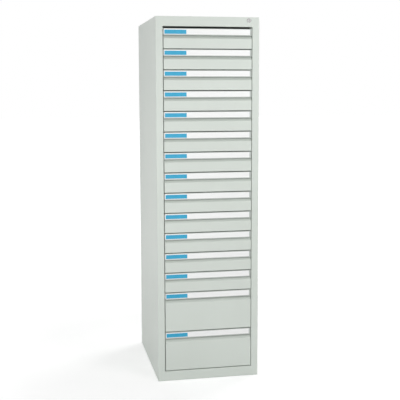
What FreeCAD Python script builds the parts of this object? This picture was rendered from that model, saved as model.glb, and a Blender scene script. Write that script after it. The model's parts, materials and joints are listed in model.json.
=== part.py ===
import FreeCAD, Part
import os
import re
import Sketcher

# Microscope slide cabinet, millimetres. +Z is up and the front faces -Y. The origin is at the middle
# of the base. Inside each piece's own frame, y is the depth behind the front plane, and a drawer's z
# is counted from the bottom edge of its front.

doc = FreeCAD.newDocument("slide_cabinet")

# ---------------------------------------------------------------- driving sizes

SIZES = {
    # body
    "cabinet_width": 385,
    "cabinet_depth": 500,
    "stile_width": 26,
    "header_height": 35.5,
    "plinth_height": 37,
    "body_sheet": 1,
    "bend_inside": 1,
    "stile_clip_gap": 1,
    "pan_lap": 6,
    "rear_flange": 15,
    "roof_flange": 15,
    "foot_return": 15,
    # drawer layout
    "shallow_count": 13,
    "deep_count": 2,
    "shallow_pitch": 75,
    "deep_pitch": 150,
    "drawer_gap": 3,
    "top_gap": 7.5,
    "side_gap": 2.5,
    # drawer front
    "front_depth": 22,
    "front_sheet": 1,
    "face_bend_inside": 2.5,
    "back_flange": 26,
    "shallow_finger_gap": 11,
    "deep_finger_gap": 14,
    "slope_rise": 20,
    "lip_height": 11,
    # label rail and its strip
    "rail_height": 24.5,
    "rail_setback": 0.5,
    "rail_lip": 0.8,
    "rail_slot": 0.9,
    "rail_back": 1.2,
    "rail_floor": 1.2,
    "lower_lip": 2.8,
    "upper_lip": 1.8,
    "grip_depth": 1.4,
    "grip_height": 3.2,
    "strip_thickness": 0.6,
    "strip_play": 0.15,
    "strip_left_margin": 0.8,
    "strip_right_margin": 6.5,
    # tray
    "tray_sheet": 1,
    "tray_lift": 3,
    "shallow_tray_height": 50,
    "deep_tray_height": 124,
    "tray_rear_space": 28,
    "tray_hem": 4,
    "runner_space": 9,
    "divider_height": 30,
    "divider_sheet": 1,
    "lane_count": 4,
    # runners
    "slide_strip": 1.2,
    "slide_strip_z": 10,
    "slide_edge_gap": 2,
    "runner_sheet": 1.2,
    "runner_rear_space": 12,
    "runner_side_gap": 1,
    "runner_tray_gap": 2,
    "running_gap": 0.3,
    "glide_pad_height": 2.5,
    "glide_pad_length": 25,
    "rear_glide_length": 20,
    "rear_glide_rise": 4.7,
    "stop_gap": 0.8,
    "drawer_travel": 380,
    # posts
    "post_sheet": 1.5,
    "post_width": 30,
    "post_clip_space": 8,
    "rear_post_space": 70,
    # lock
    "lock_edge": 39,
    "lock_drop": 12,
    "lock_proud": 2,
    "lock_head_radius": 8,
    "barrel_radius": 7,
    "barrel_cam_gap": 1.5,
    "barrel_play": 0.15,
    "plug_radius": 5,
    "plug_play": 0.05,
    "keyway_width": 1.2,
    "keyway_height": 6,
    "keyway_depth": 8,
    "nut_width": 20,
    "nut_height": 3.5,
    "cam_bar_gap": 1,
    "cam_sheet": 2,
    "cam_hub_radius": 5.5,
    "cam_crank": 8,
    "cam_rest_angle": -67.5,
    "cam_turn": 90,
    "cam_pin_radius": 2.5,
    "cam_screw_radius": 3.2,
    "cam_screw_height": 2,
    # locking bar
    "bar_sheet": 2,
    "bar_width": 16,
    "bar_gap": 0.5,
    "bar_edge_gap": 1.5,
    "bar_slot_play": 1.1,
    "bar_head_margin": 3,
    "bar_foot": 12,
    "hook_height": 8,
    "hook_reach_gap": 1,
    "catch_z": 42,
    "catch_depth": 2.5,
    "guide_wall": 1.2,
    "guide_lip": 3,
    "guide_height": 15,
    "guide_z": 55,
}

sheet = doc.addObject("Spreadsheet::Sheet", "Sizes")
for row, (alias, value) in enumerate(SIZES.items(), start=1):
    sheet.set("A%d" % row, str(value))
    sheet.setAlias("A%d" % row, alias)
doc.recompute()

# ---------------------------------------------------------------- derived sizes

DERIVED = {}
derived = doc.addObject("App::VarSet", "Derived")


def expression(text):
    """The text with each size's name written as a reference to its cell or derived value."""

    def reference(match):
        word = match.group(0)
        if word in SIZES:
            return "Sizes." + word
        if word in DERIVED:
            return "Derived." + word
        return word

    return re.sub(r"[a-z_]+", reference, str(text))


def value_of(text):
    """The present value of an expression, in millimetres."""
    return float(derived.evalExpression(expression(text)))


def derive(name, text):
    """Names a value that follows from the driving sizes."""
    derived.addProperty("App::PropertyFloat", name)
    derived.setExpression(name, expression(text))
    DERIVED[name] = text
    doc.recompute()


derive("front_y", "lock_proud / 2 - cabinet_depth / 2")
derive("half_width", "cabinet_width / 2")
derive("opening_half", "half_width - stile_width")
derive("stack_height", "shallow_count * shallow_pitch + deep_count * deep_pitch - drawer_gap")
derive("cabinet_height", "plinth_height + drawer_gap + stack_height + top_gap + header_height")
derive("roof_z", "cabinet_height - body_sheet")
derive("inner_half", "half_width - body_sheet")
derive("back_y", "cabinet_depth - 2 * body_sheet")
derive("back_half", "inner_half - bend_inside")
derive("floor_z", "plinth_height - body_sheet")
# drawer
derive("front_half", "opening_half - side_gap")
derive("tray_half", "opening_half - runner_space")
derive("tray_length", "cabinet_depth - tray_rear_space - front_depth")
derive("tray_rear", "front_depth + tray_length")
derive("shallow_front", "shallow_pitch - drawer_gap")
derive("deep_front", "deep_pitch - drawer_gap")
derive("rail_rear", "rail_setback + rail_lip + rail_slot + rail_back")
derive("lane_width", "(2 * (tray_half - tray_sheet) - (lane_count - 1) * divider_sheet) / lane_count")
# runner heights, from the bottom of the drawer's front
derive("slide_edge", "opening_half - slide_edge_gap")
derive("strip_top", "slide_strip_z + slide_strip")
derive("runner_low", "slide_strip_z - running_gap - glide_pad_height - runner_sheet")
derive("runner_high", "strip_top + rear_glide_rise + running_gap + runner_sheet")
derive("runner_edge", "tray_half + runner_tray_gap")
derive("runner_web", "slide_edge + runner_side_gap")
derive("post_face", "runner_web + runner_sheet")
derive("front_post_y", "front_depth + post_clip_space")
derive("runner_front", "front_depth + running_gap")
derive("runner_rear", "back_y - runner_rear_space")
derive("rear_glide_front", "tray_rear - rear_glide_length")
derive("stop_y", "rear_glide_front - drawer_travel - running_gap - runner_sheet")
# lock and bar
derive("lock_x", "half_width - lock_edge")
derive("lock_z", "cabinet_height - lock_drop")
derive("pin_x", "lock_x + cam_crank * cos(cam_rest_angle)")
derive("pin_z", "lock_z + cam_crank * sin(cam_rest_angle)")
derive("bar_lift", "cam_crank * (sin(cam_rest_angle + cam_turn) - sin(cam_rest_angle))")
derive("bar_y", "front_depth + bar_gap")
derive("bar_rear", "bar_y + bar_sheet")
derive("bar_x", "opening_half + body_sheet + bar_edge_gap")
derive("hook_z", "catch_z - bar_lift")
derive("guide_x", "bar_x - running_gap - guide_wall")
derive("guide_end", "bar_x + bar_width + running_gap + guide_wall")
derive("guide_front", "bar_y - running_gap - guide_wall")
derive("stile_return", "guide_front - stile_clip_gap")
derive("rail_return", "stile_return + pan_lap")
derive("cam_y", "bar_y - cam_bar_gap - cam_screw_height - cam_sheet")
derive("barrel_length", "cam_y - barrel_cam_gap")

# ---------------------------------------------------------------- builders


def place(piece, x="0", y="0", z="0"):
    """Ties the piece's position to the sizes."""
    for axis, text in (("x", x), ("y", y), ("z", z)):
        if str(text) != "0":
            piece.setExpression("Placement.Base." + axis, expression(text))


def box(name, x, y, z):
    """A plain block from its low and high limits along each axis."""
    block = doc.addObject("Part::Box", name)
    for side, limits in (("Length", x), ("Width", y), ("Height", z)):
        block.setExpression(side, expression("(%s) - (%s)" % (limits[1], limits[0])))
    place(block, x[0], y[0], z[0])
    return block


def cylinder(name, radius, x, y, z):
    """A round bar along Y, at x and z, between two depths."""
    bar = doc.addObject("Part::Cylinder", name)
    bar.setExpression("Radius", expression(radius))
    bar.setExpression("Height", expression("(%s) - (%s)" % (y[1], y[0])))
    bar.Placement.Rotation = FreeCAD.Rotation(FreeCAD.Vector(1, 0, 0), -90)
    place(bar, x, y[0], z)
    return bar


def joined(name, pieces):
    """One solid made of touching pieces."""
    whole = doc.addObject("Part::MultiFuse", name)
    whole.Shapes = pieces
    whole.Refine = True
    return whole


def cut(name, base, tool):
    """The base less the tool."""
    rest = doc.addObject("Part::Cut", name)
    rest.Base = base
    rest.Tool = tool
    return rest


def group(name, pieces):
    """Separate solids that make one node."""
    together = doc.addObject("Part::Compound", name)
    together.Links = pieces
    return together


NODES = []


def node(name, piece, z="0"):
    """Names a finished sub-part and puts it behind the front plane, at height z."""
    if piece.TypeId in ("Part::Box", "Part::Cylinder", "Part::Cut", "Part::MultiFuse"):
        piece = group(name + "_solids", [piece])
    piece.Label = name
    place(piece, "0", "front_y", z)
    NODES.append(piece)
    return piece


def outline(body, name, plane, points):
    """A closed sketch on one of the body's own planes, each corner tied to the sizes."""
    sketch = body.newObject("Sketcher::SketchObject", name)
    origin_plane = [part for part in body.Origin.OriginFeatures if part.Role == plane][0]
    sketch.AttachmentSupport = [(origin_plane, "")]
    sketch.MapMode = "FlatFace"
    corners = [FreeCAD.Vector(value_of(u), value_of(v), 0) for u, v in points]
    count = len(corners)
    for i in range(count):
        sketch.addGeometry(Part.LineSegment(corners[i], corners[(i + 1) % count]), False)
    for i in range(count):
        sketch.addConstraint(Sketcher.Constraint("Coincident", i, 2, (i + 1) % count, 1))
    for i, corner in enumerate(points):
        for kind, letter, text in (("DistanceX", "u", corner[0]), ("DistanceY", "v", corner[1])):
            start = corners[i].x if letter == "u" else corners[i].y
            index = sketch.addConstraint(Sketcher.Constraint(kind, -1, 1, i, 1, start))
            sketch.renameConstraint(index, "%s%d" % (letter, i))
            sketch.setExpression("Constraints.%s%d" % (letter, i), expression(text))
    return sketch


def pad(body, name, sketch, length, backwards=False):
    """Extrudes the sketch by a length."""
    feature = body.newObject("PartDesign::Pad", name)
    feature.Profile = sketch
    feature.Reversed = backwards
    feature.setExpression("Length", expression(length))
    doc.recompute()
    return feature


def edges_through(feature, spots, direction):
    """Names of the straight edges along a direction that pass through the spots."""
    names = []
    for index, edge in enumerate(feature.Shape.Edges, start=1):
        ends = [vertex.Point for vertex in edge.Vertexes]
        if len(ends) != 2 or abs((ends[1] - ends[0]).normalize().dot(direction)) < 0.999:
            continue
        for spot in spots:
            away = ends[0] - spot
            if (away - direction * away.dot(direction)).Length < 0.01:
                names.append("Edge%d" % index)
                break
    return names


def rounded(body, name, feature, spots, direction, radius):
    """Rounds the edges through the spots."""
    names = edges_through(feature, spots, direction)
    if not names:
        raise ValueError("no edge to round for " + name)
    fillet = body.newObject("PartDesign::Fillet", name)
    fillet.Base = (feature, names)
    fillet.setExpression("Radius", expression(radius))
    doc.recompute()
    return fillet


def segment_normal(start, end, side):
    """The unit normal of a segment, towards the material, as a pair of expressions."""
    du = value_of(end[0]) - value_of(start[0])
    dv = value_of(end[1]) - value_of(start[1])
    if abs(dv) < 1e-6:
        return ("0", str(side * (1 if du > 0 else -1)))
    if abs(du) < 1e-6:
        return (str(side * (-1 if dv > 0 else 1)), "0")
    run = "((%s) - (%s))" % (end[0], start[0])
    rise = "((%s) - (%s))" % (end[1], start[1])
    length = "sqrt(%s * %s + %s * %s)" % (run, run, rise, rise)
    return ("(%d * %s / %s)" % (-side, rise, length), "(%d * %s / %s)" % (side, run, length))


PLANES = {
    # plane: position of a sketch point in the body, direction of its pad
    "XY_Plane": (lambda u, v: FreeCAD.Vector(u, v, 0), FreeCAD.Vector(0, 0, 1), False),
    "XZ_Plane": (lambda u, v: FreeCAD.Vector(u, 0, v), FreeCAD.Vector(0, 1, 0), True),
    "YZ_Plane": (lambda u, v: FreeCAD.Vector(0, u, v), FreeCAD.Vector(1, 0, 0), False),
}


def folded(name, plane, path, side, thickness, length, bends=None):
    """A folded sheet: one face follows the path, and the sheet lies to its left (1) or right (-1).

    bends gives the inside radius at each corner of the path, where it isn't bend_inside.
    """
    bends = bends or {}
    normals = [segment_normal(path[i], path[i + 1], side) for i in range(len(path) - 1)]
    far_side = []
    for i, (u, v) in enumerate(path):
        before = normals[max(i - 1, 0)]
        after = normals[min(i, len(normals) - 1)]
        if i in (0, len(path) - 1):
            share = "%s"
            before_u, before_v = (before if i else after)
            shift = (before_u, before_v)
        else:
            share = "(%%s) / (1 + %s * %s + %s * %s)" % (before[0], after[0], before[1], after[1])
            shift = ("%s + %s" % (before[0], after[0]), "%s + %s" % (before[1], after[1]))
        far_side.append(
            (
                "%s + %s * %s" % (u, thickness, share % ("(" + shift[0] + ")")),
                "%s + %s * %s" % (v, thickness, share % ("(" + shift[1] + ")")),
            )
        )
    body = doc.addObject("PartDesign::Body", name)
    locate, direction, backwards = PLANES[plane]
    sketch = outline(body, name + "_outline", plane, list(path) + far_side[::-1])
    feature = pad(body, name + "_sheet", sketch, length, backwards)
    corner_spots = {}
    for i in range(1, len(path) - 1):
        before = [value_of(part) for part in normals[i - 1]]
        run = [value_of(path[i + 1][k]) - value_of(path[i][k]) for k in (0, 1)]
        turns_in = before[0] * run[0] + before[1] * run[1] > 0
        inside = bends.get(i, "bend_inside")
        outside = "%s + %s" % (inside, thickness)
        near, far = (outside, inside) if turns_in else (inside, outside)
        for radius, corner in ((near, path[i]), (far, far_side[i])):
            spot = locate(value_of(corner[0]), value_of(corner[1]))
            corner_spots.setdefault(radius, []).append(spot)
    for number, (radius, spots) in enumerate(corner_spots.items(), start=1):
        feature = rounded(body, "%s_bend%d" % (name, number), feature, spots, direction, radius)
    return body


# ---------------------------------------------------------------- cabinet body

SIDES = {"left": -1, "right": 1}


def side_panel(word):
    """The side, its stile with the inner return, and the rear flange, in one folded sheet."""
    sign = SIDES[word]
    path = [
        ("%d * opening_half" % sign, "stile_return"),
        ("%d * opening_half" % sign, "0"),
        ("%d * half_width" % sign, "0"),
        ("%d * half_width" % sign, "cabinet_depth"),
        ("%d * (half_width - rear_flange)" % sign, "cabinet_depth"),
    ]
    return folded(word + "_side_sheet", "XY_Plane", path, sign, "body_sheet", "roof_z")


for word in SIDES:
    node(word + "_side_panel", side_panel(word))

# The roof sheet covers the top edges, with flanges down inside the sides and the back.
flange_z = ("cabinet_height - roof_flange", "roof_z")
roof = [
    box("roof_sheet", ("-half_width", "half_width"), ("0", "cabinet_depth"), ("roof_z", "cabinet_height")),
    box("roof_left_flange", ("-inner_half", "-inner_half + body_sheet"), ("front_post_y", "back_y"), flange_z),
    box("roof_right_flange", ("inner_half - body_sheet", "inner_half"), ("front_post_y", "back_y"), flange_z),
    box("roof_rear_flange", ("-inner_half", "inner_half"), ("back_y - body_sheet", "back_y"), flange_z),
]
node("top_panel", joined("roof", roof))

node(
    "back_panel",
    box("back_sheet", ("-back_half", "back_half"), ("back_y", "back_y + body_sheet"), ("0", "roof_z")),
)

# The base pan's floor laps under the plinth rail's return. Its walls stand on inward foot returns.
pan_y = ("stile_return", "back_y")
foot_z = ("0", "body_sheet")
base = [
    box("pan_floor", ("-inner_half", "inner_half"), pan_y, ("floor_z - body_sheet", "floor_z")),
    box("pan_left_wall", ("-inner_half", "-inner_half + body_sheet"), pan_y, ("0", "floor_z")),
    box("pan_right_wall", ("inner_half - body_sheet", "inner_half"), pan_y, ("0", "floor_z")),
    box("pan_rear_wall", ("-inner_half", "inner_half"), ("back_y - body_sheet", "back_y"), ("0", "floor_z")),
    box("pan_left_foot", ("-inner_half", "-inner_half + foot_return"), pan_y, foot_z),
    box("pan_right_foot", ("inner_half - foot_return", "inner_half"), pan_y, foot_z),
    box("pan_rear_foot", ("-inner_half", "inner_half"), ("back_y - foot_return", "back_y"), foot_z),
]
node("base_pan", joined("base", base))

# Rails between the stiles, folded from the front face back.
header_low = "cabinet_height - header_height"
header_path = [
    ("0", "roof_z"),
    ("0", header_low),
    ("stile_return", header_low),
]
header_sheet = folded(
    "header_sheet", "YZ_Plane", header_path, 1, "body_sheet", "2 * opening_half"
)
place(header_sheet, "-opening_half")
lock_hole = cylinder(
    "lock_hole", "barrel_radius + barrel_play", "lock_x", ("-lock_proud", "stile_return"), "lock_z"
)
node("header_rail", cut("header", header_sheet, lock_hole))

plinth_path = [
    ("foot_return", "0"),
    ("0", "0"),
    ("0", "plinth_height"),
    ("rail_return", "plinth_height"),
]
plinth_sheet = folded(
    "plinth_sheet", "YZ_Plane", plinth_path, -1, "body_sheet", "2 * opening_half"
)
place(plinth_sheet, "-opening_half")
node("plinth_rail", group("plinth", [plinth_sheet]))


def post(name, sign, y):
    """An upright channel against a side, from the base pan to the roof's flange."""
    path = [
        ("%d * inner_half" % sign, y),
        ("%d * post_face" % sign, y),
        ("%d * post_face" % sign, "%s + post_width" % y),
        ("%d * inner_half" % sign, "%s + post_width" % y),
    ]
    length = "cabinet_height - roof_flange - floor_z"
    channel = folded(name, "XY_Plane", path, -sign, "post_sheet", length)
    place(channel, z="floor_z")
    return channel


posts = []
for word, sign in SIDES.items():
    posts.append(post(word + "_front_post", sign, "front_post_y"))
    posts.append(post(word + "_rear_post", sign, "back_y - rear_post_space"))
node("runner_posts", group("posts", posts))

# ---------------------------------------------------------------- drawer places

SHALLOW = int(value_of("shallow_count"))
DEEP = int(value_of("deep_count"))
DRAWERS = list(range(1, SHALLOW + DEEP + 1))


def is_deep(number):
    return number > SHALLOW


def drawer_z(number):
    """Height of the bottom of a drawer's front. The drawers are numbered from the top."""
    deep_below = min(SHALLOW + DEEP - number, DEEP)
    shallow_below = max(SHALLOW - number, 0)
    return "plinth_height + drawer_gap + %d * deep_pitch + %d * shallow_pitch" % (
        deep_below,
        shallow_below,
    )


def at_each_drawer(name, piece):
    """A copy of the piece at the height of each drawer, as one group."""
    copies = []
    for number in DRAWERS:
        copy = group("%s_%02d" % (name, number), [piece])
        place(copy, z=drawer_z(number))
        copies.append(copy)
    return group(name, copies)


# ---------------------------------------------------------------- cabinet runners


def cabinet_runner(word):
    """A C channel on the posts, with a stop tab under its upper flange."""
    sign = SIDES[word]
    path = [
        ("%d * runner_edge" % sign, "runner_low"),
        ("%d * post_face" % sign, "runner_low"),
        ("%d * post_face" % sign, "runner_high"),
        ("%d * runner_edge" % sign, "runner_high"),
    ]
    length = "runner_rear - runner_front"
    channel = folded(
        word + "_runner_channel", "XZ_Plane", path, sign, "runner_sheet", length,
        {1: "running_gap", 2: "running_gap"},
    )
    place(channel, y="runner_front")
    ends = ("%d * runner_edge" % sign, "%d * runner_web" % sign)
    tab = box(
        word + "_stop_tab", ends[::sign], ("stop_y", "stop_y + runner_sheet"),
        ("strip_top + stop_gap", "runner_high - runner_sheet"),
    )
    return joined(word + "_runner", [channel, tab])


def glide_pad(word):
    """A plastic pad in the mouth of a runner, under the drawer's slide strip."""
    sign = SIDES[word]
    ends = ("%d * runner_edge" % sign, "%d * (runner_web - running_gap)" % sign)
    pad_z = ("runner_low + runner_sheet", "slide_strip_z - running_gap")
    return box(
        word + "_glide_pad", ends[::sign], ("runner_front", "runner_front + glide_pad_length"), pad_z
    )


runner_pair = group("runner_pair", [cabinet_runner(word) for word in SIDES])
pad_pair = group("pad_pair", [glide_pad(word) for word in SIDES])
node("cabinet_runners", at_each_drawer("runners", runner_pair))
node("glide_pads", at_each_drawer("pads", pad_pair))

# ---------------------------------------------------------------- lock

head_y = ("-lock_proud", "0")
barrel_body = joined(
    "barrel_body",
    [
        cylinder("lock_head", "lock_head_radius", "lock_x", head_y, "lock_z"),
        cylinder("barrel_tube", "barrel_radius", "lock_x", ("-lock_proud", "barrel_length"), "lock_z"),
    ],
)
barrel_bore = cylinder(
    "barrel_bore", "plug_radius + plug_play", "lock_x", ("-2 * lock_proud", "cam_y"), "lock_z"
)
nut_block = doc.addObject("Part::Prism", "nut_block")
nut_block.Polygon = 6
nut_block.setExpression("Circumradius", expression("nut_width / sqrt(3)"))
nut_block.setExpression("Height", expression("nut_height"))
nut_block.Placement.Rotation = FreeCAD.Rotation(FreeCAD.Vector(1, 0, 0), -90)
place(nut_block, "lock_x", "body_sheet", "lock_z")
nut_bore = cylinder(
    "nut_bore", "barrel_radius + barrel_play", "lock_x", ("0", "body_sheet + 2 * nut_height"), "lock_z"
)
node(
    "lock_barrel",
    group("barrel_and_nut", [cut("barrel", barrel_body, barrel_bore), cut("nut", nut_block, nut_bore)]),
)

plug_round = cylinder("plug_round", "plug_radius", "lock_x", ("-lock_proud", "cam_y"), "lock_z")
keyway = box(
    "keyway",
    ("lock_x - keyway_width / 2", "lock_x + keyway_width / 2"),
    ("-2 * lock_proud", "keyway_depth - lock_proud"),
    ("lock_z - keyway_height / 2", "lock_z + keyway_height / 2"),
)
node("lock_plug", cut("plug", plug_round, keyway))

# The cam is a hub and an arm on the plug's rear end, with the drive pin standing back from the arm.
cam_rear = "cam_y + cam_sheet"
side_x = "cam_pin_radius * sin(cam_rest_angle)"
side_z = "cam_pin_radius * cos(cam_rest_angle)"
arm_corners = [
    ("lock_x + " + side_x, "lock_z - " + side_z),
    ("pin_x + " + side_x, "pin_z - " + side_z),
    ("pin_x - " + side_x, "pin_z + " + side_z),
    ("lock_x - " + side_x, "lock_z + " + side_z),
]
cam_arm = doc.addObject("PartDesign::Body", "cam_arm")
pad(cam_arm, "cam_arm_plate", outline(cam_arm, "cam_arm_outline", "XZ_Plane", arm_corners), "cam_sheet", True)
place(cam_arm, y="cam_y")
cam = joined(
    "cam",
    [
        cylinder("cam_hub", "cam_hub_radius", "lock_x", ("cam_y", cam_rear), "lock_z"),
        cam_arm,
        cylinder("cam_pin", "cam_pin_radius", "pin_x", ("cam_y", "bar_rear + bar_gap"), "pin_z"),
        cylinder("cam_screw", "cam_screw_radius", "lock_x", (cam_rear, cam_rear + " + cam_screw_height"), "lock_z"),
    ],
)
node("lock_cam", cam)

# ---------------------------------------------------------------- locking bar

bar_plane = ("bar_y", "bar_rear")
slot_low = "pin_z - cam_pin_radius - bar_slot_play"
slot_high = "pin_z + cam_pin_radius + bar_slot_play"
head_x = ("lock_x - cam_pin_radius - bar_head_margin", "bar_x + bar_width")
head_plate = box(
    "bar_head_plate", head_x, bar_plane,
    (slot_low + " - bar_head_margin", slot_high + " + bar_head_margin"),
)
bar_slot = box(
    "bar_slot",
    ("pin_x - cam_pin_radius - running_gap", "lock_x + cam_crank + cam_pin_radius + running_gap"),
    ("front_depth", "bar_rear + bar_sheet"),
    (slot_low, slot_high),
)
lowest = drawer_z(DRAWERS[-1])
strip = box(
    "bar_strip", ("bar_x", "bar_x + bar_width"), bar_plane,
    (lowest + " + hook_z - bar_foot", slot_low + " - bar_head_margin"),
)
hook = box(
    "bar_hook", ("tray_half + hook_reach_gap", "bar_x"), bar_plane, ("hook_z", "hook_z + hook_height")
)
node(
    "locking_bar",
    group("bar", [cut("bar_head", head_plate, bar_slot), strip, at_each_drawer("bar_hooks", hook)]),
)


def bar_guide(name, number):
    """A plastic clip on the front post that the bar slides in, beside a drawer."""
    inside = ("bar_x - running_gap", "bar_x + bar_width + running_gap")
    back = "bar_rear + running_gap"
    lip = "bar_y - running_gap"
    points = [
        ("guide_x", "front_post_y"),
        ("guide_x", "guide_front"),
        (inside[0] + " + guide_lip", "guide_front"),
        (inside[0] + " + guide_lip", lip),
        (inside[0], lip),
        (inside[0], back),
        (inside[1], back),
        (inside[1], lip),
        (inside[1] + " - guide_lip", lip),
        (inside[1] + " - guide_lip", "guide_front"),
        ("guide_end", "guide_front"),
        ("guide_end", "front_post_y"),
    ]
    body = doc.addObject("PartDesign::Body", name)
    pad(body, name + "_clip", outline(body, name + "_outline", "XY_Plane", points), "guide_height")
    place(body, z=drawer_z(number) + " + guide_z")
    return body


guide_places = (1, (SHALLOW + 1) // 2, SHALLOW)
guides = [bar_guide("bar_guide_%d" % i, number) for i, number in enumerate(guide_places, start=1)]
node("bar_guides", group("guides", guides))

# ---------------------------------------------------------------- drawers


def drawer_front(kind):
    """The folded front: face, finger slope, back wall, and the flange and lip that hold the rail."""
    height = kind + "_front"
    face = "%s - rail_height - %s_finger_gap" % (height, kind)
    inner = "front_depth - front_sheet"
    path = [
        ("front_depth", "back_flange"),
        ("front_depth", "0"),
        ("0", "0"),
        ("0", face),
        (inner, face + " + slope_rise"),
        (inner, height + " - front_sheet"),
        ("rail_rear + front_sheet", height + " - front_sheet"),
        ("rail_rear + front_sheet", height + " - lip_height"),
    ]
    body = folded(
        kind + "_front_sheet", "YZ_Plane", path, -1, "front_sheet", "2 * front_half",
        {3: "face_bend_inside", 4: "face_bend_inside"},
    )
    end_points = [
        ("front_sheet", "front_sheet"),
        ("front_sheet", face),
        (inner, face + " + slope_rise - front_sheet"),
        (inner, "front_sheet"),
    ]
    place(body, "-front_half")
    ends = []
    for word, x in (("left", "-front_half"), ("right", "front_half - front_sheet")):
        end = doc.addObject("PartDesign::Body", "%s_%s_end" % (kind, word))
        sketch = outline(end, "%s_%s_end_outline" % (kind, word), "YZ_Plane", end_points)
        pad(end, "%s_%s_end_plate" % (kind, word), sketch, "front_sheet")
        place(end, x)
        ends.append(end)
    return joined(kind + "_front_piece", [body] + ends)


def label_rail(kind):
    """The extruded rail: a slot for the label strip, and a rounded lower edge to pull by."""
    height = kind + "_front"
    low = height + " - rail_height"
    slot_front = "rail_setback + rail_lip"
    slot_back = "rail_setback + rail_lip + rail_slot"
    grip = "rail_rear + grip_depth"
    points = [
        ("rail_setback", low),
        ("rail_setback", low + " + lower_lip"),
        (slot_front, low + " + lower_lip"),
        (slot_front, low + " + rail_floor"),
        (slot_back, low + " + rail_floor"),
        (slot_back, height + " - rail_lip"),
        (slot_front, height + " - rail_lip"),
        (slot_front, height + " - upper_lip"),
        ("rail_setback", height + " - upper_lip"),
        ("rail_setback", height),
        ("rail_rear", height),
        ("rail_rear", low + " + grip_height"),
        (grip, low + " + grip_height"),
        (grip, low),
    ]
    body = doc.addObject("PartDesign::Body", kind + "_rail")
    profile = pad(
        body, kind + "_rail_profile", outline(body, kind + "_rail_outline", "YZ_Plane", points),
        "2 * front_half",
    )
    bottom = value_of(low)
    spots = [FreeCAD.Vector(0, value_of(u), bottom) for u in ("rail_setback", grip)]
    rounded(
        body, kind + "_rail_edges", profile, spots, FreeCAD.Vector(1, 0, 0), "rail_lip"
    )
    place(body, "-front_half")
    strip_front = "%s + (rail_slot - strip_thickness) / 2" % slot_front
    strip_piece = box(
        kind + "_label_strip",
        ("-front_half + strip_left_margin", "front_half - strip_right_margin"),
        (strip_front, strip_front + " + strip_thickness"),
        (low + " + rail_floor + strip_play", height + " - rail_lip - strip_play"),
    )
    return group(kind + "_rail_and_strip", [body, strip_piece])


def drawer_tray(kind):
    """The folded pan with its slide strips, rear glides, lock catch and dividers."""
    top = "tray_lift + %s_tray_height" % kind
    path = [
        ("-tray_half + tray_hem", top),
        ("-tray_half", top),
        ("-tray_half", "tray_lift"),
        ("tray_half", "tray_lift"),
        ("tray_half", top),
        ("tray_half - tray_hem", top),
    ]
    shell = folded(kind + "_tray_shell", "XZ_Plane", path, 1, "tray_sheet", "tray_length")
    place(shell, y="front_depth")
    wall_x = ("-tray_half + bend_inside + tray_sheet", "tray_half - bend_inside - tray_sheet")
    wall_z = ("tray_lift", top)
    inner_x = ("-tray_half + tray_sheet / 2", "tray_half - tray_sheet / 2")
    walls = []
    for word, y in (("front", ("front_depth", "front_depth + tray_sheet")),
                    ("rear", ("tray_rear - tray_sheet", "tray_rear"))):
        walls.append(box("%s_tray_%s_wall" % (kind, word), wall_x, y, wall_z))
        walls.append(
            box("%s_tray_%s_corner" % (kind, word), inner_x, y,
                ("tray_lift + bend_inside + tray_sheet", top + " - bend_inside - tray_sheet"))
        )
    pieces = [joined(kind + "_tray", [shell] + walls)]
    for word, sign in SIDES.items():
        ends = ("%d * tray_half" % sign, "%d * slide_edge" % sign)[::sign]
        pieces.append(
            box("%s_%s_slide_strip" % (kind, word), ends,
                ("bar_rear + bar_gap", "rear_glide_front"), ("slide_strip_z", "strip_top"))
        )
        pieces.append(
            box("%s_%s_rear_glide" % (kind, word), ends, ("rear_glide_front", "tray_rear"),
                ("slide_strip_z - glide_pad_height", "strip_top + rear_glide_rise"))
        )
    pieces.append(
        box(kind + "_lock_catch", ("tray_half", "slide_edge"),
            ("bar_rear + bar_gap", "bar_rear + bar_gap + catch_depth"),
            ("catch_z", "catch_z + hook_height"))
    )
    if kind == "shallow":
        for i in range(1, int(value_of("lane_count"))):
            x = "-tray_half + tray_sheet + %d * lane_width + %d * divider_sheet" % (i, i - 1)
            pieces.append(
                box("divider_%d" % i, (x, x + " + divider_sheet"),
                    ("front_depth + tray_sheet", "tray_rear - tray_sheet"),
                    ("tray_lift + tray_sheet", "tray_lift + tray_sheet + divider_height"))
            )
    return group(kind + "_tray_pieces", pieces)


MASTERS = {
    kind: {
        "tray": drawer_tray(kind),
        "front": drawer_front(kind),
        "label_rail": label_rail(kind),
    }
    for kind in ("shallow", "deep")
}

for number in DRAWERS:
    kind = "deep" if is_deep(number) else "shallow"
    for piece_name, master in MASTERS[kind].items():
        name = "drawer_%02d_%s" % (number, piece_name)
        node(name, group(name + "_copy", [master]), drawer_z(number))

# ---------------------------------------------------------------- checks and export

doc.recompute()
for piece in doc.Objects:
    if "Invalid" in piece.State or "Error" in piece.State:
        raise ValueError("%s failed: %s" % (piece.Label, piece.State))
for piece in NODES:
    if piece.Shape.isNull() or not piece.Shape.isValid():
        raise ValueError("%s has no valid shape" % piece.Label)

os.makedirs("parts", exist_ok=True)
for piece in NODES:
    piece.Shape.exportStep("parts/%s.step" % piece.Label)
print(len(NODES), "nodes,", sum(len(piece.Shape.Solids) for piece in NODES), "solids")
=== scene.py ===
import json
from math import cos, pi, radians, sin

import bmesh
import bpy
from mathutils import Matrix, Vector

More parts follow.
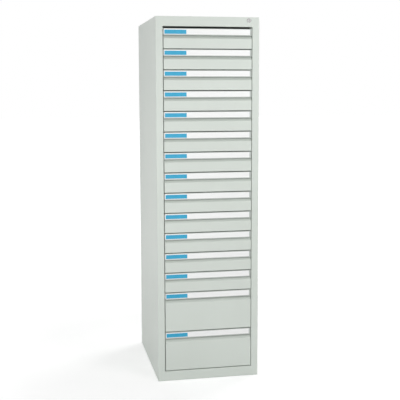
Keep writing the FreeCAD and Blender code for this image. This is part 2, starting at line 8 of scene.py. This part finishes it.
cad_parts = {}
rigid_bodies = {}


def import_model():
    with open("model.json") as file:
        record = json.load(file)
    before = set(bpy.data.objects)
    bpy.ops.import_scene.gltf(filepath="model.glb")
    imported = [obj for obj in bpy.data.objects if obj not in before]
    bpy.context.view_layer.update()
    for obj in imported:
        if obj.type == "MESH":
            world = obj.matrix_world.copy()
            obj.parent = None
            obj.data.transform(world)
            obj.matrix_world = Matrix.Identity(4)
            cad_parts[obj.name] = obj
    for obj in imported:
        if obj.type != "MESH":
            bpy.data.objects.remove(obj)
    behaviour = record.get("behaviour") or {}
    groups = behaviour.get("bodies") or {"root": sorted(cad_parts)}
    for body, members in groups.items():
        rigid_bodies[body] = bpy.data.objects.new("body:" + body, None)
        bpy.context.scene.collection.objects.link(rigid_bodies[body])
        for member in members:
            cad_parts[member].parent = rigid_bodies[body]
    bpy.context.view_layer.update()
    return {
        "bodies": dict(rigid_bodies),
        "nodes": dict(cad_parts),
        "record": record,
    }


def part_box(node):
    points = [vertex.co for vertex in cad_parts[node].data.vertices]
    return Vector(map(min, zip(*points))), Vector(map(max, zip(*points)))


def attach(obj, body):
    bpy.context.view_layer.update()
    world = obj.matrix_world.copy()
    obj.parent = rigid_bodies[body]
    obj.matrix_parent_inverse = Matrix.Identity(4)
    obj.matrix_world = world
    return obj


# Microscope slide cabinet, in metres. +Z is up, the drawers open towards -Y.

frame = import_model()

MM = 0.001
DRAWERS = sorted(name for name in frame["bodies"] if name.startswith("drawer_"))
BODY_LOW, BODY_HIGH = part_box("left_side_panel")[0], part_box("right_side_panel")[1]
FRONT_Y = BODY_LOW.y
ROOF_Z = BODY_HIGH.z

# ---------------------------------------------------------------- camera

CAMERA_PLACE = (-0.6215, -3.229, 1.088)
CAMERA_AZIMUTH = 11.2
CAMERA_TILT = -6.58
CAMERA_ROLL = -0.15
CAMERA_LENS = 74.33
CAMERA_SENSOR = 36
CAMERA_SHIFT = (0, -0.035)

camera_data = bpy.data.cameras.new("camera")
camera_data.sensor_width = CAMERA_SENSOR
camera_data.lens = CAMERA_LENS
camera_data.shift_x, camera_data.shift_y = CAMERA_SHIFT
camera = bpy.data.objects.new("camera", camera_data)
camera.location = CAMERA_PLACE
camera.rotation_euler = (
    Matrix.Rotation(radians(-CAMERA_AZIMUTH), 3, "Z")
    @ Matrix.Rotation(radians(90 + CAMERA_TILT), 3, "X")
    @ Matrix.Rotation(radians(CAMERA_ROLL), 3, "Z")
).to_euler()
bpy.context.scene.collection.objects.link(camera)
bpy.context.scene.camera = camera

# ---------------------------------------------------------------- material builders

# The part of a pattern's range over which its two tones blend.
TONE_START = 0.3
TONE_END = 0.7

# A Mix node's colour sockets come after those for numbers and vectors.
MIX_FIRST = 6
MIX_SECOND = 7
MIX_RESULT = 2


class Shader:
    """A node material with a Principled shader and a few helpers that keep its graph short."""

    def __init__(self, name, roughness, metallic=0.0, **fixed):
        self.material = bpy.data.materials.new(name)
        self.material.use_nodes = True
        self.tree = self.material.node_tree
        self.surface = self.tree.nodes["Principled BSDF"]
        self.surface.inputs["Roughness"].default_value = roughness
        self.surface.inputs["Metallic"].default_value = metallic
        for socket, value in fixed.items():
            self.surface.inputs[socket.replace("_", " ")].default_value = value
        self.place = self.add("ShaderNodeTexCoord").outputs["Object"]

    def add(self, kind, **settings):
        node = self.tree.nodes.new(kind)
        for key, value in settings.items():
            setattr(node, key, value)
        return node

    def link(self, source, target):
        self.tree.links.new(source, target)

    def math(self, operation, first, second=None, clamp=False):
        node = self.add("ShaderNodeMath", operation=operation, use_clamp=clamp)
        for socket, value in zip(node.inputs, (first, second)):
            if value is None:
                continue
            if isinstance(value, (int, float)):
                socket.default_value = value
            else:
                self.link(value, socket)
        return node.outputs[0]

    def stretched(self, scale):
        node = self.add("ShaderNodeVectorMath", operation="MULTIPLY")
        self.link(self.place, node.inputs[0])
        node.inputs[1].default_value = scale
        return node.outputs[0]

    def noise(self, scale, detail=2.0, stretch=None):
        node = self.add("ShaderNodeTexNoise")
        self.link(self.stretched(stretch) if stretch else self.place, node.inputs["Vector"])
        node.inputs["Scale"].default_value = scale
        node.inputs["Detail"].default_value = detail
        return node.outputs["Fac"]

    def ramp(self, source, stops):
        node = self.add("ShaderNodeValToRGB")
        self.link(source, node.inputs[0])
        elements = node.color_ramp.elements
        while len(elements) < len(stops):
            elements.new(0.5)
        for element, (position, colour) in zip(elements, stops):
            element.position = position
            element.color = (*colour, 1)
        return node.outputs[0]

    def tones(self, source, first, second):
        """Two tones of a pattern that blend over the middle of its range."""
        return self.ramp(source, [(TONE_START, first), (TONE_END, second)])

    def mix(self, factor, first, second):
        node = self.add("ShaderNodeMix", data_type="RGBA")
        self.link(factor, node.inputs["Factor"])
        for socket, value in zip((node.inputs[MIX_FIRST], node.inputs[MIX_SECOND]), (first, second)):
            if isinstance(value, tuple):
                socket.default_value = (*value, 1)
            else:
                self.link(value, socket)
        return node.outputs[MIX_RESULT]

    def colour(self, source):
        self.link(source, self.surface.inputs["Base Color"])

    def vary_roughness(self, source, low, high):
        node = self.add("ShaderNodeMapRange")
        self.link(source, node.inputs["Value"])
        node.inputs["To Min"].default_value = low
        node.inputs["To Max"].default_value = high
        self.link(node.outputs[0], self.surface.inputs["Roughness"])

    def bump(self, height, strength, distance):
        node = self.add("ShaderNodeBump")
        node.inputs["Strength"].default_value = strength
        node.inputs["Distance"].default_value = distance
        self.link(height, node.inputs["Height"])
        self.link(node.outputs[0], self.surface.inputs["Normal"])


def shade(colour, factor):
    """The colour made lighter or darker."""
    return tuple(channel * factor for channel in colour)


def linear(red, green, blue):
    """A colour written as 8-bit sRGB values, as linear values."""
    values = []
    for channel in (red, green, blue):
        part = channel / 255
        values.append(part / 12.92 if part <= 0.04045 else ((part + 0.055) / 1.055) ** 2.4)
    return tuple(values)


# ---------------------------------------------------------------- materials

PAINT = linear(220, 227, 220)
TRAY_PAINT = linear(214, 219, 215)
RAIL_GREY = linear(196, 202, 197)
NYLON_WHITE = linear(236, 235, 226)
ZINC = (0.60, 0.61, 0.62)
ZINC_ROUGHNESS = 0.36
NICKEL_DARK = (0.22, 0.22, 0.22)
NICKEL_LIGHT = (0.31, 0.31, 0.305)
CARD_WHITE = linear(254, 255, 254)
CARD_BLUE = linear(34, 166, 207)

# Scales of the patterns: about how many of their grains go on a metre.
MARK_SCALE = 38
PAINT_GLOSS_SCALE = 90
PEEL_SCALE = 900
SPANGLE_SCALE = 260
DRAWN_STEEL_SCALE = 60
SMEAR_SCALE = 700
DRAWN_PLASTIC_SCALE = 40
NYLON_TONE_SCALE = 120
SPARK_SCALE = 1500
FIBRE_SCALE = 2200
INK_SCALE = 45
FILM_SCALE = 60

# The turned rings as a wave, in radians per metre: one ring to about 0.24 mm.
RING_WAVE = 26000


def powder_coat(name, colour, cloud_scale):
    """Light grey powder coat: slight clouding, faint handling marks, and a fine orange peel."""
    paint = Shader(name, roughness=0.42, Specular_IOR_Level=0.42)
    clouds = paint.noise(cloud_scale, detail=3.0)
    toned = paint.tones(clouds, shade(colour, 0.975), shade(colour, 1.015))
    marks = paint.noise(MARK_SCALE, detail=6.0, stretch=(1, 1, 0.35))
    rubbed = paint.ramp(marks, [(0.62, (0, 0, 0)), (0.8, (1, 1, 1))])
    faint = paint.math("MULTIPLY", rubbed, 0.10)
    paint.colour(paint.mix(faint, toned, shade(colour, 0.88)))
    paint.vary_roughness(paint.noise(PAINT_GLOSS_SCALE, detail=4.0), low=0.36, high=0.5)
    peel = paint.noise(PEEL_SCALE, detail=2.0)
    paint.bump(peel, strength=0.35, distance=0.0003)
    return paint.material


def zinc_steel(name, colour, roughness):
    """Zinc plated steel with soft spangles and drawn lines along the depth."""
    steel = Shader(name, roughness=roughness, metallic=0.92)
    spangle = steel.add("ShaderNodeTexVoronoi")
    steel.link(steel.place, spangle.inputs["Vector"])
    spangle.inputs["Scale"].default_value = SPANGLE_SCALE
    stops = [(0.1, shade(colour, 0.9)), (0.8, shade(colour, 1.08))]
    steel.colour(steel.ramp(spangle.outputs["Distance"], stops))
    drawn = steel.noise(DRAWN_STEEL_SCALE, detail=5.0, stretch=(14, 0.6, 14))
    steel.vary_roughness(drawn, low=roughness - 0.08, high=roughness + 0.12)
    steel.bump(drawn, strength=0.15, distance=0.0001)
    return steel.material


def nickel(name, centre):
    """Nickel plate with fine turned rings about the lock's axis."""
    plate = Shader(name, roughness=0.42, metallic=1.0)
    offset = plate.add("ShaderNodeVectorMath", operation="SUBTRACT")
    plate.link(plate.place, offset.inputs[0])
    offset.inputs[1].default_value = (centre.x, 0, centre.z)
    across = plate.add("ShaderNodeVectorMath", operation="MULTIPLY")
    plate.link(offset.outputs[0], across.inputs[0])
    across.inputs[1].default_value = (1, 0, 1)
    radius = plate.add("ShaderNodeVectorMath", operation="LENGTH")
    plate.link(across.outputs[0], radius.inputs[0])
    rings = plate.math("SINE", plate.math("MULTIPLY", radius.outputs["Value"], RING_WAVE))
    smears = plate.noise(SMEAR_SCALE, detail=3.0)
    plate.colour(plate.tones(smears, NICKEL_DARK, NICKEL_LIGHT))
    plate.vary_roughness(smears, low=0.36, high=0.48)
    plate.bump(rings, strength=0.12, distance=0.00005)
    return plate.material


def rail_plastic(name, colour):
    """Grey extruded plastic with drawing lines along its length."""
    plastic = Shader(name, roughness=0.38, Specular_IOR_Level=0.45)
    lines = plastic.noise(DRAWN_PLASTIC_SCALE, detail=4.0, stretch=(0.2, 30, 30))
    plastic.colour(plastic.tones(lines, shade(colour, 0.96), shade(colour, 1.03)))
    plastic.vary_roughness(lines, low=0.32, high=0.46)
    plastic.bump(lines, strength=0.08, distance=0.0001)
    return plastic.material


def nylon(name, colour):
    """Natural nylon, moulded with a fine sparked texture."""
    resin = Shader(name, roughness=0.5)
    grain = resin.noise(SPARK_SCALE, detail=2.0)
    resin.colour(resin.tones(resin.noise(NYLON_TONE_SCALE), shade(colour, 0.95), colour))
    resin.vary_roughness(grain, low=0.44, high=0.58)
    resin.bump(grain, strength=0.15, distance=0.0001)
    return resin.material


# The blue field, from the card's left edge and from the top of the window that the rail's lips leave.
FIELD_LEFT = 2.7 * MM
FIELD_WIDTH = 80.5 * MM
FIELD_HEIGHT = 15 * MM
FIELD_DROP = 3.1 * MM


def card_print(name, card_width, card_height, window_top):
    """White label card under a clear film, with a plain blue field printed at its left end."""
    card = Shader(name, roughness=0.4, Coat_Weight=0.25, Coat_Roughness=0.3)
    split = card.add("ShaderNodeSeparateXYZ")
    card.link(card.place, split.inputs[0])
    left = -card_width / 2 + FIELD_LEFT
    top = window_top - FIELD_DROP
    half_width = FIELD_WIDTH / 2
    half_height = FIELD_HEIGHT / 2
    spans = (("X", left + half_width, half_width), ("Z", top - half_height, half_height))
    inside = []
    for socket, middle, half in spans:
        away = card.math("ABSOLUTE", card.math("SUBTRACT", split.outputs[socket], middle))
        inside.append(card.math("LESS_THAN", away, half))
    field = card.math("MULTIPLY", *inside)
    fibres = card.noise(FIBRE_SCALE, detail=3.0)
    white = card.tones(fibres, shade(CARD_WHITE, 0.975), CARD_WHITE)
    patches = card.noise(INK_SCALE, detail=4.0)
    ink = card.tones(patches, shade(CARD_BLUE, 0.94), shade(CARD_BLUE, 1.05))
    card.colour(card.mix(field, white, ink))
    card.vary_roughness(card.noise(FILM_SCALE, detail=3.0), low=0.36, high=0.48)
    card.bump(fibres, strength=0.04, distance=0.00005)
    return card.material


LOCK_LOW, LOCK_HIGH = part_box("lock_plug")
LOCK_CENTRE = (LOCK_LOW + LOCK_HIGH) / 2

FINISHES = {
    "body_paint": powder_coat("body_powder_coat", PAINT, cloud_scale=2.2),
    "drawer_paint": powder_coat("drawer_powder_coat", PAINT, cloud_scale=3.1),
    "tray_paint": powder_coat("tray_powder_coat", TRAY_PAINT, cloud_scale=4.0),
    "runner_steel": zinc_steel("zinc_steel", ZINC, ZINC_ROUGHNESS),
    "label_plastic": rail_plastic("rail_plastic", RAIL_GREY),
    "glide_plastic": nylon("glide_nylon", NYLON_WHITE),
    "lock_chrome": nickel("lock_nickel", LOCK_CENTRE),
}

for part in frame["record"]["subparts"]:
    piece = frame["nodes"][part["node"]]
    piece.data.materials.clear()
    piece.data.materials.append(FINISHES[part["material_slot"]])

# ---------------------------------------------------------------- mesh builders


def mesh_piece(name, form, material, body):
    """A new piece from a bmesh, in the row frame, that rides on a body."""
    mesh = bpy.data.meshes.new(name)
    bmesh.ops.recalc_face_normals(form, faces=form.faces)
    form.to_mesh(mesh)
    form.free()
    mesh.materials.append(material)
    return mesh_object(name, mesh, body)


def mesh_object(name, mesh, body, place=(0, 0, 0)):
    """A new piece from a mesh, set at a place in the row frame, that rides on a body."""
    piece = bpy.data.objects.new(name, mesh)
    piece.location = place
    bpy.context.scene.collection.objects.link(piece)
    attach(piece, body)
    return piece


def prism(form, points, low, high, upright):
    """A closed prism from an outline. upright says how an outline point and a height make a 3-D point."""
    rings = [[form.verts.new(upright(u, v, level)) for u, v in points] for level in (low, high)]
    form.faces.new(rings[0])
    form.faces.new(rings[1])
    for i in range(len(points)):
        j = (i + 1) % len(points)
        form.faces.new((rings[0][i], rings[0][j], rings[1][j], rings[1][i]))


def dome(form, centre, radius, height, rings=4, sides=20):
    """A low dome that stands on a wall and faces +Y."""
    rows = []
    for ring in range(rings):
        angle = pi / 2 * ring / rings
        reach, rise = radius * cos(angle), height * sin(angle)
        row = []
        for side in range(sides):
            turn = 2 * pi * side / sides
            row.append(form.verts.new(centre + Vector((reach * cos(turn), rise, reach * sin(turn)))))
        rows.append(row)
    tip = form.verts.new(centre + Vector((0, height, 0)))
    form.faces.new(rows[0])
    for low, high in zip(rows, rows[1:]):
        for i in range(sides):
            j = (i + 1) % sides
            form.faces.new((low[i], low[j], high[j], high[i]))
    for i in range(sides):
        form.faces.new((rows[-1][i], rows[-1][(i + 1) % sides], tip))


# ---------------------------------------------------------------- label cards

# The card lies in the label rail, behind its lips and in front of its strip. Depths are from the
# rail's front, and margins from its ends, top and bottom.
RAIL_LIP = 0.8 * MM
STRIP_FRONT = 0.95 * MM
CARD_GAP = 0.03 * MM
CARD_LEFT = 0.8 * MM
CARD_RIGHT = 6.5 * MM
CARD_EDGE = 1.4 * MM
CARD_CORNER = 1.2 * MM
CORNER_STEPS = 5
UPPER_LIP = 1.8 * MM


def card_outline(width, height):
    """A rectangle with rounded corners, about its middle."""
    points = []
    for quarter, (sx, sz) in enumerate(((1, 1), (-1, 1), (-1, -1), (1, -1))):
        middle = Vector((sx * (width / 2 - CARD_CORNER), sz * (height / 2 - CARD_CORNER)))
        for step in range(CORNER_STEPS + 1):
            angle = pi / 2 * (quarter + step / CORNER_STEPS)
            points.append(middle + CARD_CORNER * Vector((cos(angle), sin(angle))))
    return points


rail_low, rail_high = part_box("drawer_01_label_rail")
card_width = rail_high.x - rail_low.x - CARD_LEFT - CARD_RIGHT
card_height = rail_high.z - rail_low.z - 2 * CARD_EDGE
card_form = bmesh.new()
card_thickness = STRIP_FRONT - RAIL_LIP - CARD_GAP
prism(
    card_form, card_outline(card_width, card_height), 0, card_thickness,
    lambda u, v, level: (u, level, v),
)
bmesh.ops.recalc_face_normals(card_form, faces=card_form.faces)
card_mesh = bpy.data.meshes.new("label_card")
card_form.to_mesh(card_mesh)
card_form.free()
window_top = card_height / 2 + CARD_EDGE - UPPER_LIP
card_mesh.materials.append(card_print("card_print", card_width, card_height, window_top))

for body in DRAWERS:
    low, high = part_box(body + "_label_rail")
    middle_x = (low.x + CARD_LEFT + high.x - CARD_RIGHT) / 2
    place = (middle_x, low.y + RAIL_LIP + CARD_GAP, (low.z + high.z) / 2)
    mesh_object(body + "_label_card", card_mesh, body, place)

# ---------------------------------------------------------------- seams and rivets of the body

BEND = 2 * MM
SEAM_STEPS = 6


def seam_outline(side, edge_x):
    """The space between a stile's rounded edge and the rail beside it, filled flush."""
    centre = Vector((edge_x + side * BEND, FRONT_Y + BEND))
    points = [(edge_x, FRONT_Y), (edge_x + side * BEND, FRONT_Y)]
    for step in range(1, SEAM_STEPS + 1):
        angle = pi / 2 * step / SEAM_STEPS
        points.append((centre.x - side * BEND * sin(angle), centre.y - BEND * cos(angle)))
    return points


for rail in ("header_rail", "plinth_rail"):
    low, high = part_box(rail)
    seams = bmesh.new()
    for side, edge_x in ((-1, low.x), (1, high.x)):
        prism(seams, seam_outline(side, edge_x), low.z, high.z, lambda u, v, level: (u, v, level))
    mesh_piece(rail + "_seams", seams, FINISHES["body_paint"], "cabinet")

RIVET_RADIUS = 3.4 * MM
RIVET_HEIGHT = 0.8 * MM
RIVETS_ACROSS = 5
RIVET_INSET = 30 * MM
back_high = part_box("back_panel")[1]
pan_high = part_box("base_pan")[1]
roof_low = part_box("top_panel")[0]

rivets = bmesh.new()
rivet_span = 2 * (back_high.x - RIVET_INSET)
for height in (pan_high.z / 2, (roof_low.z + ROOF_Z) / 2):
    for place in range(RIVETS_ACROSS):
        x = rivet_span * (place / (RIVETS_ACROSS - 1) - 0.5)
        dome(rivets, Vector((x, back_high.y, height)), RIVET_RADIUS, RIVET_HEIGHT)
mesh_piece("back_rivets", rivets, FINISHES["body_paint"], "cabinet")

# ---------------------------------------------------------------- floor and light

FLOOR_SIZE = 60
FLOOR_DROP = 0.5 * MM
FLOOR_COLOUR = (0.82, 0.82, 0.82)

# The floor's own glow rises from NEAR_GLOW to 1 between these distances from the cabinet's middle.
NEAR_GLOW = 0.45
GLOW_START = 0.7
GLOW_END = 3.0


def seen_directly(tree):
    """1 where a camera, glossy or transmitted ray looks, and 0 for the light that falls on the object."""
    path = tree.nodes.new("ShaderNodeLightPath")
    source = path.outputs["Is Camera Ray"]
    for kind in ("Is Glossy Ray", "Is Transmission Ray"):
        either = tree.nodes.new("ShaderNodeMath")
        either.operation = "MAXIMUM"
        tree.links.new(source, either.inputs[0])
        tree.links.new(path.outputs[kind], either.inputs[1])
        source = either.outputs[0]
    return source


def white_ground(name):
    """A pale floor that keeps the shadow near the object and shows as white away from it."""
    material = bpy.data.materials.new(name)
    material.use_nodes = True
    tree = material.node_tree
    tree.nodes.clear()
    output = tree.nodes.new("ShaderNodeOutputMaterial")
    diffuse = tree.nodes.new("ShaderNodeBsdfDiffuse")
    diffuse.inputs["Color"].default_value = (*FLOOR_COLOUR, 1)
    place = tree.nodes.new("ShaderNodeTexCoord")
    away = tree.nodes.new("ShaderNodeVectorMath")
    away.operation = "LENGTH"
    tree.links.new(place.outputs["Object"], away.inputs[0])
    rising = tree.nodes.new("ShaderNodeMapRange")
    rising.inputs["From Min"].default_value = GLOW_START
    rising.inputs["From Max"].default_value = GLOW_END
    rising.inputs["To Min"].default_value = NEAR_GLOW
    tree.links.new(away.outputs["Value"], rising.inputs["Value"])
    strength = tree.nodes.new("ShaderNodeMath")
    strength.operation = "MULTIPLY"
    tree.links.new(seen_directly(tree), strength.inputs[0])
    tree.links.new(rising.outputs[0], strength.inputs[1])
    glow = tree.nodes.new("ShaderNodeEmission")
    tree.links.new(strength.outputs[0], glow.inputs["Strength"])
    total = tree.nodes.new("ShaderNodeAddShader")
    tree.links.new(diffuse.outputs[0], total.inputs[0])
    tree.links.new(glow.outputs[0], total.inputs[1])
    tree.links.new(total.outputs[0], output.inputs["Surface"])
    return material


floor_form = bmesh.new()
bmesh.ops.create_grid(floor_form, x_segments=1, y_segments=1, size=FLOOR_SIZE / 2)
floor_mesh = bpy.data.meshes.new("floor")
floor_form.to_mesh(floor_mesh)
floor_form.free()
floor_mesh.materials.append(white_ground("white_ground"))
floor = bpy.data.objects.new("floor", floor_mesh)
floor.location = (0, 0, -FLOOR_DROP)
bpy.context.scene.collection.objects.link(floor)

AMBIENT = 0.2

world = bpy.data.worlds.new("studio")
bpy.context.scene.world = world
world.use_nodes = True
sky = world.node_tree
background = sky.nodes["Background"]
background.inputs["Color"].default_value = (1, 1, 1, 1)
level = sky.nodes.new("ShaderNodeMapRange")
level.inputs["To Min"].default_value = AMBIENT
level.inputs["To Max"].default_value = 1.0
sky.links.new(seen_directly(sky), level.inputs["Value"])
sky.links.new(level.outputs[0], background.inputs["Strength"])


def area_light(name, place, target_height, size, power):
    """A soft lamp turned to the cabinet's middle line at a height, and kept out of the camera's sight."""
    data = bpy.data.lights.new(name, "AREA")
    data.size = size
    data.energy = power
    lamp = bpy.data.objects.new(name, data)
    lamp.location = place
    lamp.visible_camera = False
    aim = Vector((0, 0, target_height)) - Vector(place)
    lamp.rotation_euler = aim.to_track_quat("-Z", "Y").to_euler()
    bpy.context.scene.collection.objects.link(lamp)


# Name, place, height that it is aimed at, size of its square, and watts.
LAMPS = (
    ("front", (-0.5, -2.1, 1.3), 1.05, 0.8, 3.6),
    ("front_low", (-0.5, -2.4, 0.7), 0.75, 1.0, 8.6),
    ("front_right", (0.9, -1.6, 1.5), 1.15, 0.8, 8.6),
    ("front_left", (-1.8, -2.6, 1.3), 1.05, 1.2, 11),
    ("left", (-2.4, -0.6, 1.2), 1.0, 1.6, 14.5),
    ("rear_right", (2.3, 2.0, 1.4), 0.8, 1.8, 52),
    ("top", (0.3, 0.8, 3.2), 0.6, 1.6, 14),
)

for lamp in LAMPS:
    area_light(*lamp)

# ---------------------------------------------------------------- colour

bpy.context.scene.view_settings.view_transform = "Standard"
